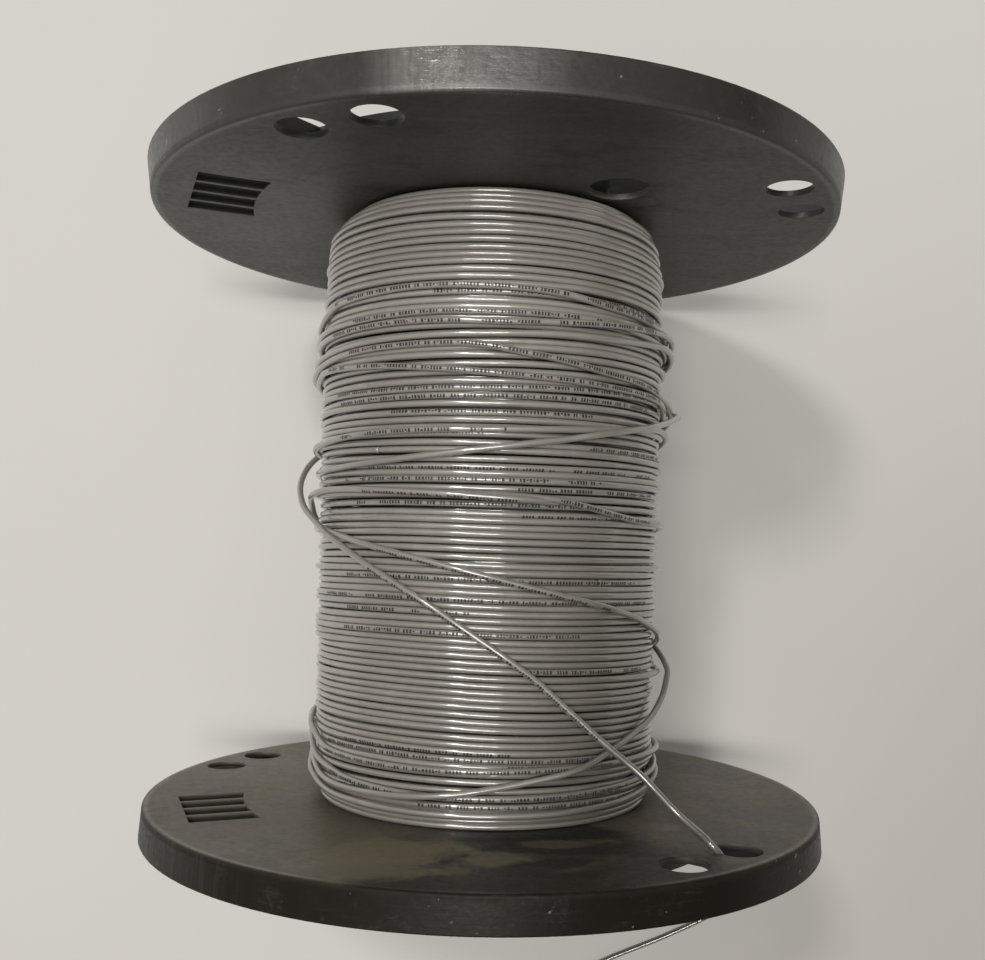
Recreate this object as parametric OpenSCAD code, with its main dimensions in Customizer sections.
// Plastic cable reel, part-used, wound with thin building wire.
// The reel lies on the rims of its two flanges.  Its axis runs along Y, +Z is up,
// and the origin is on the axis, midway between the flanges.  The far flange is at +Y.
// The two flanges come from one mould: a thin plate with a deep rim, ribbed on its
// outer side.  They clamp a drum tube between them with four tie rods.

/* [Reel] */
// Flange diameter at its inner edge
flange_d = 304.8; // [250:0.1:360]
// Distance between the two flanges, the traverse
traverse = 259.6; // [220:0.1:320]
// Depth of a flange, from its inner face to its rim's outer edge
flange_w = 14; // [12:0.5:20]
// Thickness of the flange plate
plate_t = 2.4; // [2:0.1:4]
// Thickness of the rim wall
rim_t = 2.6; // [2:0.1:4]
// Amount by which the rim grows outwards, as mould draft
rim_draft = 1.2; // [0:0.1:2]
// Thickness of each stiffening rib
rib_t = 2.3; // [1.5:0.1:4]
// Number of radial ribs
rib_count = 12; // [12:12:24]
// Mean radius of the outer ring rib
ring_outer_r = 108.3; // [100:0.1:112]
// Mean radius of the ring rib behind the drum
ring_inner_r = 61; // [56:0.5:70]
// Angle of the far flange about the axis
far_turn = 159.2; // [0:0.1:360]
// Angle of the near flange about the axis
near_turn = 158.7; // [0:0.1:360]

/* [Drum and hub] */
// Outside diameter of the drum tube
drum_d = 114; // [100:1:118]
// Wall of the drum tube
drum_wall = 3.5; // [2.5:0.1:5]
// Arbor hole diameter, for a 1-1/8 inch shaft
arbor_d = 28.6; // [20:0.1:32]
// Wall of an arbor bush
bush_wall = 2.9; // [2:0.1:4]
// Radius of the hub
hub_r = 24; // [22:0.5:30]
// Radius from the axis to each tie rod
rod_pitch_r = 42; // [38:0.5:44]
// Tie rod diameter
rod_d = 6.35; // [5:0.05:8]

/* [Holes in a flange] */
// Diameter of each lacing hole
lacing_d = 19; // [12:0.5:24]
// Radius from the axis to the lacing holes
lacing_r = 136.3; // [130:0.1:138]
// Diameter of the start hole
start_d = 25.4; // [18:0.1:28]
// Radius from the axis to the start hole
start_r = 81; // [78:0.5:86]
// Half width of the slotted window
window_half_w = 23.8; // [18:0.1:26]
// Distance from the axis to the window's straight outer edge
window_outer = 135.7; // [128:0.1:138]

/* [Wire] */
// Outside diameter of the wire
wire_d = 2.77; // [2:0.01:4]
// Outer radius of the full winding
wound_r = 77.6; // [72:0.1:78]
// Length of bare conductor at the cut end
bare_len = 4; // [2:0.5:10]

/* [Hidden] */
$fn = 96;

flange_r = flange_d / 2;
rim_r = flange_r + rim_draft;
half = traverse / 2;
drum_r = drum_d / 2;
drum_inner_r = drum_r - drum_wall;
bush_r = arbor_d / 2 + bush_wall;
wire_r = wire_d / 2;

// Heights above a flange's inner face
rib_z = flange_w - 1;     // the ribs stop 1 mm short, so a reel stands on its rim
hub_z = flange_w - 3;
boss_z = 4.6;
sink = 0.4;               // overlap of a rib or the spigot with the plate
rib_root_z = plate_t - sink;
hub_reach = 8;            // depth of the hub, spigot and bush inside the drum
fit_gap = 0.02;           // gap between parts that touch

rod_angles = [45 : 90 : 315];

flange_color = [0.10, 0.10, 0.10];
drum_color = [0.16, 0.15, 0.14];
bush_color = [0.62, 0.62, 0.60];
rod_color = [0.70, 0.70, 0.68];
washer_color = [0.74, 0.73, 0.70];
nut_color = [0.66, 0.65, 0.62];
inner_layers_color = [0.45, 0.44, 0.42];
outer_layer_color = [0.50, 0.49, 0.47];
jacket_color = [0.52, 0.51, 0.49];
insulation_color = [0.58, 0.57, 0.55];
copper_color = [0.72, 0.45, 0.20];

// ---------- placing ----------
// A flange is drawn with its outer side up and its window on +X.
module at_far() {
    rotate([0, -far_turn, 0]) translate([0, half, 0]) rotate([-90, 0, 0]) children();
}
module at_near() {
    rotate([0, -near_turn, 0]) translate([0, -half, 0]) rotate([90, 0, 0]) children();
}

// ---------- flange ----------
// Angles round a flange from its window: three pairs of [middle, half spacing]
lacing_pairs = [[45.05, 6.4], [134.25, 6.2], [251.6, 6.7]];
start_angle = 106.7;

shell_bore_r = 20;
lip_r = 1.1;              // edge between the inner face and the rim
rim_edge = 0.5;           // size of the bevelled outer edge of the rim
rim_edge_mid = 0.15;      // inset of the bevel's middle point
boss_r = 9;
rod_clearance = 0.6;      // on the diameter
spigot_gap = 0.15;
spigot_inset = 3.2;       // from the drum's inside wall to the spigot's bore

// The window's bars and sides are evenly spaced
bar_pitch = (window_half_w + rib_t / 2) / 2;
louvre_z = 0.4;           // height at which the louvre bars start

module flange_shell() {
    lip = [for (a = [0 : 22.5 : 90]) [flange_r - lip_r + lip_r * sin(a), lip_r - lip_r * cos(a)]];
    rotate_extrude($fn = 240)
        polygon(concat([[shell_bore_r, 0]], lip, [
            [rim_r, flange_w - rim_edge],
            [rim_r - rim_edge_mid, flange_w - rim_edge_mid],
            [rim_r - rim_edge, flange_w],
            [rim_r - rim_t, flange_w],
            [flange_r - rim_t, plate_t],
            [shell_bore_r, plate_t]]));
}

module ring_rib(mean_r) {
    difference() {
        translate([0, 0, rib_root_z])
            cylinder(r = mean_r + rib_t / 2, h = rib_z - rib_root_z, $fn = 180);
        translate([0, 0, plate_t - 1]) cylinder(r = mean_r - rib_t / 2, h = rib_z, $fn = 180);
    }
}

// Straight rib along X, centred on y
module bar(from_x, to_x, y = 0, from_z = rib_root_z) {
    translate([from_x, y - rib_t / 2, from_z])
        cube([to_x - from_x, rib_t, rib_z - from_z]);
}

module ribs() {
    for (i = [0 : rib_count - 1])
        rotate([0, 0, i * 360 / rib_count]) bar(hub_r - 2, flange_r - 1.4);
    ring_rib(ring_outer_r);
    ring_rib(ring_inner_r);
}

// Frame round the window, with three louvre bars as high as the ribs
module window_box() {
    for (k = [-2, 2]) bar(ring_outer_r - 3, window_outer + rib_t, k * bar_pitch);
    translate([window_outer, -window_half_w - rib_t, rib_root_z])
        cube([rib_t, 2 * (window_half_w + rib_t), rib_z - rib_root_z]);
    for (k = [-1, 0, 1])
        bar(ring_outer_r - 2, window_outer + 0.5, k * bar_pitch, louvre_z);
}

// Four slots between the bars, ending at the outer ring rib
module window_slots() {
    slot_from = ring_outer_r - 12;
    difference() {
        for (k = [0 : 3])
            translate([slot_from, -window_half_w + k * bar_pitch, -1])
                cube([window_outer - slot_from, bar_pitch - rib_t, flange_w + 2]);
        translate([0, 0, -2])
            cylinder(r = ring_outer_r + rib_t / 2, h = flange_w + 4, $fn = 180);
    }
}

// Centres the drum tube
module spigot() {
    difference() {
        translate([0, 0, -hub_reach])
            cylinder(r = drum_inner_r - spigot_gap, h = hub_reach + sink);
        translate([0, 0, -hub_reach - 1])
            cylinder(r = drum_inner_r - spigot_inset, h = hub_reach + 2);
    }
}

module plate_hole(angle, radius, diameter) {
    rotate([0, 0, angle]) translate([radius, 0, -1]) cylinder(d = diameter, h = plate_t + 2);
}

module flange_body() {
    difference() {
        union() {
            flange_shell();
            ribs();
            window_box();
            translate([0, 0, -hub_reach]) cylinder(r = hub_r, h = hub_z + hub_reach);
            for (a = rod_angles)
                rotate([0, 0, a]) translate([rod_pitch_r, 0, 0]) cylinder(r = boss_r, h = boss_z);
            spigot();
        }
        translate([0, 0, -hub_reach - 2]) cylinder(r = bush_r + fit_gap, h = flange_w + 20);
        window_slots();
        for (pair = lacing_pairs)
            for (side = [-1, 1]) plate_hole(pair[0] + side * pair[1], lacing_r, lacing_d);
        plate_hole(start_angle, start_r, start_d);
        for (a = rod_angles)
            rotate([0, 0, a]) translate([rod_pitch_r, 0, -2])
                cylinder(d = rod_d + rod_clearance, h = boss_z + 4);
    }
}

module flange_far() { color(flange_color) at_far() flange_body(); }
module flange_near() { color(flange_color) at_near() flange_body(); }

// ---------- drum and hub ----------
drum_gap = 0.05;          // between each end of the drum and its flange
drum_hole_y = 100;
drum_hole_d = 6;
collar_w = 4.5;
collar_t = 1.6;

module drum_tube() {
    color(drum_color) difference() {
        translate([0, half - drum_gap, 0]) rotate([90, 0, 0])
            cylinder(d = drum_d, h = traverse - 2 * drum_gap, $fn = 180);
        translate([0, half + 1, 0]) rotate([90, 0, 0])
            cylinder(r = drum_inner_r, h = traverse + 2, $fn = 180);
        // hole that the wire's inner end goes through
        translate([0, drum_hole_y, 0]) cylinder(d = drum_hole_d, h = drum_d);
    }
}

module bush_body() {
    difference() {
        union() {
            translate([0, 0, -hub_reach]) cylinder(r = bush_r, h = hub_z + hub_reach);
            translate([0, 0, hub_z + fit_gap]) cylinder(r = bush_r + collar_w, h = collar_t);
            // joins the collar to the bush
            translate([0, 0, hub_z - 0.2]) cylinder(r = bush_r, h = 1);
        }
        translate([0, 0, -12]) cylinder(d = arbor_d, h = flange_w + 24);
    }
}
module arbor_bush_far() { color(bush_color) at_far() bush_body(); }
module arbor_bush_near() { color(bush_color) at_near() bush_body(); }

// ---------- tie rods, washers and nuts ----------
washer_r = 8;
washer_t = 1.6;
nut_r = 6.4;              // to the corners
nut_t = 5.6;
rod_end = 1.2;            // rod beyond each nut
rod_half = half + boss_z + washer_t + nut_t + rod_end;
washer_y = half + boss_z + fit_gap;
nut_y = washer_y + washer_t + fit_gap;

// The rods run through the bosses of both flanges, so they sit at the mean of the two angles
module on_rods(y) {
    for (a = rod_angles)
        rotate([0, -(far_turn + near_turn) / 2 + a, 0])
            translate([rod_pitch_r, y, 0]) rotate([-90, 0, 0]) children();
}

module drilled(bore_r, depth) {
    difference() {
        children();
        translate([0, 0, -1]) cylinder(r = bore_r, h = depth + 2);
    }
}
module washer() { drilled(rod_d / 2 + 0.3, washer_t) cylinder(r = washer_r, h = washer_t); }
module nut() { drilled(rod_d / 2 + 0.03, nut_t) cylinder(r = nut_r, h = nut_t, $fn = 6); }

module tie_rods() { color(rod_color) on_rods(-rod_half) cylinder(d = rod_d, h = 2 * rod_half); }
module rod_washers_far() { color(washer_color) on_rods(washer_y) washer(); }
module rod_washers_near() { color(washer_color) on_rods(-washer_y - washer_t) washer(); }
module rod_nuts_far() { color(nut_color) on_rods(nut_y) nut(); }
module rod_nuts_near() { color(nut_color) on_rods(-nut_y - nut_t) nut(); }

// ---------- winding ----------
far_edge_r = 63.5;        // winding radius at the far flange
far_slope_w = 17;         // width over which it rises to the full radius
near_edge_r = 72.7;
near_slope_w = 12;
layer_t = 2.9;
layer_overlap = 0.06;     // gap left between the inner and outer layers
turn_pitch = wire_d + 0.25;
turns = floor((traverse - 2) / turn_pitch);
winding_end = half - 0.15;
slope_steps = 26;
// One turn of the outer layer: a valley, then two crest points, as [place in pitches, rise]
turn_profile = [[-0.5, -0.75], [-0.22, 0], [0.22, 0]];

function ease(t) = let (u = max(0, min(1, t))) 1 - (1 - u) * (1 - u);

// Outer radius of the winding along the axis: it slopes down to each flange
function winding_r(y) = min(
    far_edge_r + (wound_r - far_edge_r) * ease((half - y) / far_slope_w),
    near_edge_r + (wound_r - near_edge_r) * ease((half + y) / near_slope_w));

// Outline at a depth below the winding's surface; direction 1 runs to +Y, -1 to -Y
function below_surface(depth, direction) = [for (i = [0 : slope_steps])
    let (y = direction * winding_end * (2 * i / slope_steps - 1)) [winding_r(y) - depth, y]];

// Outlines are [radius, -place along Y] turned about the axis
module revolved(outline) { rotate([90, 0, 0]) rotate_extrude($fn = 180) polygon(outline); }

module wire_inner_layers() {
    bottom_r = drum_r + 0.05;
    color(inner_layers_color) revolved(concat([[bottom_r, -winding_end]],
        below_surface(layer_t, 1), [[bottom_r, winding_end]]));
}

module wire_outer_layer() {
    ridges = [for (i = [0 : turns - 1]) for (point = turn_profile)
        let (y = -turns * turn_pitch / 2 + (i + 0.5 + point[0]) * turn_pitch)
        [winding_r(y) + point[1], y]];
    color(outer_layer_color) revolved(concat([[winding_r(-winding_end), -winding_end]], ridges,
        [[winding_r(winding_end), winding_end]], below_surface(layer_t - layer_overlap, -1)));
}

// ---------- strands ----------
tube_sides = 8;
joint_gap = 0.15;         // between the end of one strand and the ball of the next

function unit(v) = v / norm(v);
function last(list) = list[len(list) - 1];

// Catmull-Rom curve through the points, with a number of steps between each two
function blend(a, b, c, d, t) = 0.5 * (2 * b + (c - a) * t
    + (2 * a - 5 * b + 4 * c - d) * t * t + (3 * b - a - 3 * c + d) * t * t * t);
function curve(points, steps) = let (m = len(points) - 1) concat(
    [for (i = [0 : m - 1]) for (k = [0 : steps - 1])
        blend(points[max(i - 1, 0)], points[i], points[i + 1], points[min(i + 2, m)], k / steps)],
    [points[m]]);

// From [angle from the top towards +X, y, distance from the axis] to [x, y, z]
function wrapped(points) = [for (p = points) [p[2] * sin(p[0]), p[1], p[2] * cos(p[0])]];

// The path carried on to just short of the ball that starts the next strand
function joined(path, pivot) =
    concat(path, [pivot - unit(pivot - last(path)) * (wire_r + joint_gap)]);

function headings(path) = [for (i = [0 : len(path) - 1])
    unit(path[min(i + 1, len(path) - 1)] - path[max(i - 1, 0)])];
function square_to(v, along) = unit(v - (v * along) * along);
// Side directions, carried from point to point so that the tube doesn't twist
function side_dirs(dirs) = let (first = abs(dirs[0][2]) < 0.9 ? [0, 0, 1] : [1, 0, 0])
    [for (i = 0, side = square_to(first, dirs[0]); i < len(dirs);
        i = i + 1, side = square_to(side, dirs[min(i, len(dirs) - 1)])) side];

// Faceted wire along a path; a rounded start is a ball about its first point
module tube(path, rounded = false) {
    dirs = headings(path);
    side_at = side_dirs(dirs);
    // each ring is [centre, index of its direction, radius]
    ball = rounded
        ? [for (a = [80, 55, 28]) [path[0] - dirs[0] * wire_r * sin(a), 0, wire_r * cos(a)]]
        : [];
    rings = concat(ball, [for (i = [0 : len(path) - 1]) [path[i], i, wire_r]]);
    points = [for (ring = rings)
        let (along = dirs[ring[1]], u = square_to(side_at[ring[1]], along), v = cross(along, u))
        for (k = [0 : tube_sides - 1]) let (a = 360 * k / tube_sides)
            ring[0] + ring[2] * (u * cos(a) + v * sin(a))];
    end = (len(rings) - 1) * tube_sides;
    walls = [for (j = [0 : len(rings) - 2]) for (k = [0 : tube_sides - 1])
        let (a = j * tube_sides + k, b = j * tube_sides + (k + 1) % tube_sides)
        each [[a, a + tube_sides, b], [b, a + tube_sides, b + tube_sides]]];
    polyhedron(points = points, faces = concat(
        [[for (k = [0 : tube_sides - 1]) k]],
        [[for (k = [tube_sides - 1 : -1 : 0]) end + k]],
        walls));
}

// ---------- loose turns ----------
lay = wound_r + wire_r + 0.55;   // radius of a strand's centre when it rests on the winding

// Tables down to lead_pts: [angle from the top towards +X, y, distance from the axis]
// A turn that crosses the others on a slant, standing off at +X
crossing_pts = [
    [145, 62, lay], [115, 57, lay + 1.2], [95, 50, lay + 3.2], [80, 44, lay + 3.6],
    [62, 38.5, lay + 1.4], [41, 32.7, lay], [20, 27.2, lay], [-11, 21.1, lay],
    [-59, 18, lay], [-85, 16, lay], [-115, 12, lay], [-145, 9, lay]];
// A small loop that stands off the -X side
loop_pts = [
    [22, 6.2, lay], [-10, 6.8, lay], [-45, 7.6, lay], [-61, 5.7, lay + 1.4],
    [-71, 2.8, lay + 3.2], [-77, -0.8, lay + 3.4], [-86, -4.8, lay + 2.4],
    [-105, -8.5, lay + 0.6], [-130, -10, lay]];
// A slack turn that slants across and curls round the +X side
slack_pts = [
    [-120, 5, lay], [-90, 1.5, lay], [-59, -6.8, lay], [-33, -17.3, lay],
    [-11, -24.1, lay], [15, -32.4, lay], [44, -41, lay], [59, -47.6, lay + 1.2],
    [68, -52, lay + 2.8], [80, -56, lay + 2.2], [105, -60, lay + 0.4], [130, -61, lay]];
// A turn that swings out at +X and fans in towards the near flange
lower_pts = [
    [130, -66, lay], [105, -66, lay + 1], [92, -67.5, lay + 3], [82, -73, lay + 4.2],
    [71, -80.5, lay + 3.8], [58, -88, lay + 1.6], [46, -97.2, lay], [23, -106.6, lay],
    [-1, -113.2, lay], [-24, -116.5, lay], [-50, -118, lay]];
// The outermost turn: it swings out at -X, slants across the top, leaves the
// winding and goes out through a lacing hole of the near flange
lead_pts = [
    [-160, 36, lay], [-128, 33, lay + 0.8], [-100, 26, lay + 3], [-88, 16.5, lay + 6.4],
    [-80, 8, lay + 7.4], [-73, 0, lay + 6.2], [-63, -8.1, lay + 2.6], [-48, -17.7, lay + 0.9],
    [-19, -37.6, lay + 0.6], [10, -63.9, 81.5], [21, -77.5, 85], [30, -91, 92],
    [38, -104.8, 102], [41.6, -118.7, 116], [42.1, -125.4, 128.5], [42.6, -127.7, 134.2],
    [43.5, -130.6, 138], [44.4, -135, 138.6], [46.2, -142.2, 136.4]];

module loose_turn(points) { tube(wrapped(curve(points, 4))); }

module wire_crossing_turn() { color(jacket_color) loose_turn(crossing_pts); }
module wire_slack_loop() { color(jacket_color) loose_turn(loop_pts); }
module wire_slack_turn() { color(jacket_color) loose_turn(slack_pts); }
module wire_lower_turn() { color(jacket_color) loose_turn(lower_pts); }
module wire_lead_out() {
    color(jacket_color) tube(joined(wrapped(curve(lead_pts, 4)), tail_pivot));
}

// ---------- free end ----------
floor_z = -rim_r + wire_r + 0.015;   // centre of a wire that lies on the floor

// [x, y, z] from outside the near flange down to the floor
tail_pivot = [98.5, -147.4, 91.9];
tail_pts = [
    tail_pivot, [101.8, -153.5, 82.5], [108, -161, 60], [120, -171, 22], [135, -184, -25],
    [147.5, -198, -70], [155.5, -212, -110], [158.5, -223, -137], [156.5, -230, -149],
    [151.3, -234.4, -152.1]];
// [x, y, z] along the floor
end_pivot = [147, -237, floor_z];
end_pts = [
    end_pivot, [136.8, -243.3, floor_z], [112.3, -255.1, floor_z], [81.7, -268.2, floor_z],
    [60, -279.5, floor_z], [44, -291, floor_z], [33, -304, floor_z]];
end_path = curve(end_pts, 3);

insulation_len = 1.6;
filament_r = 0.175;
// Filaments of the conductor: [count, distance from its centre, first angle]
filament_rings = [[1, 0, 0], [6, 0.37, 0], [12, 0.74, 15]];

module wire_tail_hanging() {
    color(jacket_color) tube(joined(curve(tail_pts, 3), end_pivot), rounded = true);
}
module wire_tail_end() { color(jacket_color) tube(end_path, rounded = true); }

// Puts +Z along the wire, outwards from its cut end
module at_cut_end() {
    along = unit(last(end_path) - end_path[len(end_path) - 2]);
    translate(last(end_path)) rotate([0, acos(along[2]), atan2(along[1], along[0])]) children();
}

module wire_insulation_end() {
    color(insulation_color) at_cut_end()
        translate([0, 0, 0.05]) cylinder(r = wire_r - 0.14, h = insulation_len);
}

module wire_conductor_end() {
    color(copper_color) at_cut_end() translate([0, 0, insulation_len + 0.07])
        for (ring = filament_rings) for (i = [0 : ring[0] - 1])
            rotate([0, 0, i * 360 / ring[0] + ring[2]]) translate([ring[1], 0, 0])
                cylinder(r = filament_r, h = bare_len, $fn = 24);
}

// The wire's inner end, passed through the drum's hole and bent along its inside wall
module wire_inner_end() {
    function height(x, r) = sqrt(r * r - x * x);
    bend_r = drum_inner_r - wire_r - 0.4;
    color(jacket_color) tube(curve([
        [0, drum_hole_y, drum_r - 0.4],
        [0, drum_hole_y, drum_inner_r - 1.2],
        [1, drum_hole_y - 1.6, drum_inner_r - 3.8],
        [5, drum_hole_y - 9, height(5, bend_r - 0.8)],
        [10, drum_hole_y - 22, height(10, bend_r)],
        [14, drum_hole_y - 42, height(14, bend_r)]], 4));
}

flange_far();
flange_near();
drum_tube();
arbor_bush_far();
arbor_bush_near();
tie_rods();
rod_washers_far();
rod_washers_near();
rod_nuts_far();
rod_nuts_near();
wire_inner_end();
wire_inner_layers();
wire_outer_layer();
wire_crossing_turn();
wire_slack_loop();
wire_slack_turn();
wire_lower_turn();
wire_lead_out();
wire_tail_hanging();
wire_tail_end();
wire_insulation_end();
wire_conductor_end();
